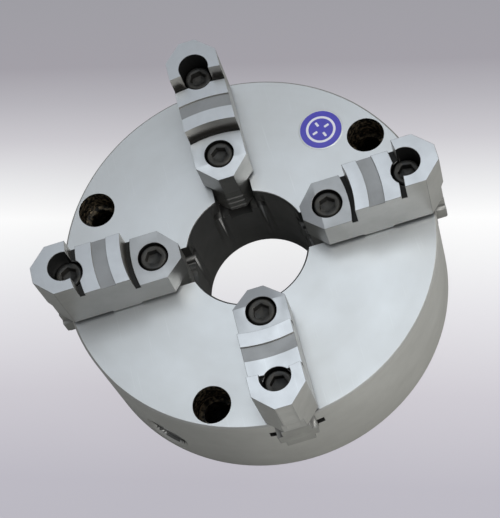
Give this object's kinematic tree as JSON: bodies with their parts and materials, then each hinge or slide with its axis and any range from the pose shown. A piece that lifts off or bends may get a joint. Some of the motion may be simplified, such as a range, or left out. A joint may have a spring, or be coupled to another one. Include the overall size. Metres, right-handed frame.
{
  "type": "lathe chuck",
  "caption": "Self-centring scroll chuck for a lathe, with radial jaws made of base jaws and bolted stepped top jaws, a through bore and key pinions in the rim.",
  "frame": {"origin": "centre of the back face that seats on the spindle adapter", "axes": "+Z along the spindle axis towards the jaws; +X along jaw 1"},
  "size_m": [0.2674, 0.2674, 0.1306],
  "materials": {
    "body_steel": "finely ground face, turned rim, satin",
    "cover_steel": "turned, light oil film",
    "hardened_steel": "hardened and machined, oiled",
    "base_jaw_steel": "milled flanks, satin grey",
    "top_jaw_steel": "ground grip faces, satin grey sides",
    "black_screws": "black oxide, slightly oily",
    "badge_enamel": "glossy blue enamel with a plain metal ring"
  },
  "bodies": {
    "housing": {"chuck_body": "body_steel", "rear_cover": "cover_steel", "cover_screws": "black_screws", "pinion_retainer_1": "black_screws", "pinion_retainer_2": "black_screws", "badge": "badge_enamel"},
    "scroll": {"scroll_plate": "hardened_steel"},
    "key_pinion_1": {"pinion_1": "hardened_steel"},
    "key_pinion_2": {"pinion_2": "hardened_steel"},
    "jaw_1": {"master_jaw_1": "base_jaw_steel", "top_jaw_1": "top_jaw_steel", "jaw_screw_inner_1": "black_screws", "jaw_screw_outer_1": "black_screws"},
    "jaw_2": {"master_jaw_2": "base_jaw_steel", "top_jaw_2": "top_jaw_steel", "jaw_screw_inner_2": "black_screws", "jaw_screw_outer_2": "black_screws"},
    "jaw_3": {"master_jaw_3": "base_jaw_steel", "top_jaw_3": "top_jaw_steel", "jaw_screw_inner_3": "black_screws", "jaw_screw_outer_3": "black_screws"},
    "jaw_4": {"master_jaw_4": "base_jaw_steel", "top_jaw_4": "top_jaw_steel", "jaw_screw_inner_4": "black_screws", "jaw_screw_outer_4": "black_screws"}
  },
  "joints": [
    {"name": "scroll_turn", "type": "hinge", "parent": "housing", "child": "scroll", "pos_m": [0, 0, 0.045], "axis": [0, 0, 1], "range_deg": [-504, 1224]},
    {"name": "pinion_1_turn", "type": "hinge", "parent": "housing", "child": "key_pinion_1", "pos_m": [-0.07778, -0.07778, 0.026], "axis": [-0.7071, -0.7071, 0], "range_deg": [-7350, 3030]},
    {"name": "pinion_2_turn", "type": "hinge", "parent": "housing", "child": "key_pinion_2", "pos_m": [0.07778, 0.07778, 0.026], "axis": [0.7071, 0.7071, 0], "range_deg": [-7350, 3030]},
    {"name": "jaw_1_slide", "type": "slide", "parent": "housing", "child": "jaw_1", "axis": [1, 0, 0], "range_m": [-0.0341, 0.0141]},
    {"name": "jaw_2_slide", "type": "slide", "parent": "housing", "child": "jaw_2", "axis": [0, 1, 0], "range_m": [-0.0341, 0.0141]},
    {"name": "jaw_3_slide", "type": "slide", "parent": "housing", "child": "jaw_3", "axis": [-1, 0, 0], "range_m": [-0.0341, 0.0141]},
    {"name": "jaw_4_slide", "type": "slide", "parent": "housing", "child": "jaw_4", "axis": [0, -1, 0], "range_m": [-0.0341, 0.0141]}
  ],
  "couplings": [
    {"joint": "pinion_1_turn", "follows": "scroll_turn", "ratio": -6},
    {"joint": "pinion_2_turn", "follows": "scroll_turn", "ratio": -6},
    {"joint": "jaw_1_slide", "follows": "scroll_turn", "m_per_rad": -0.0015915},
    {"joint": "jaw_2_slide", "follows": "scroll_turn", "m_per_rad": -0.0015915},
    {"joint": "jaw_3_slide", "follows": "scroll_turn", "m_per_rad": -0.0015915},
    {"joint": "jaw_4_slide", "follows": "scroll_turn", "m_per_rad": -0.0015915}
  ]
}
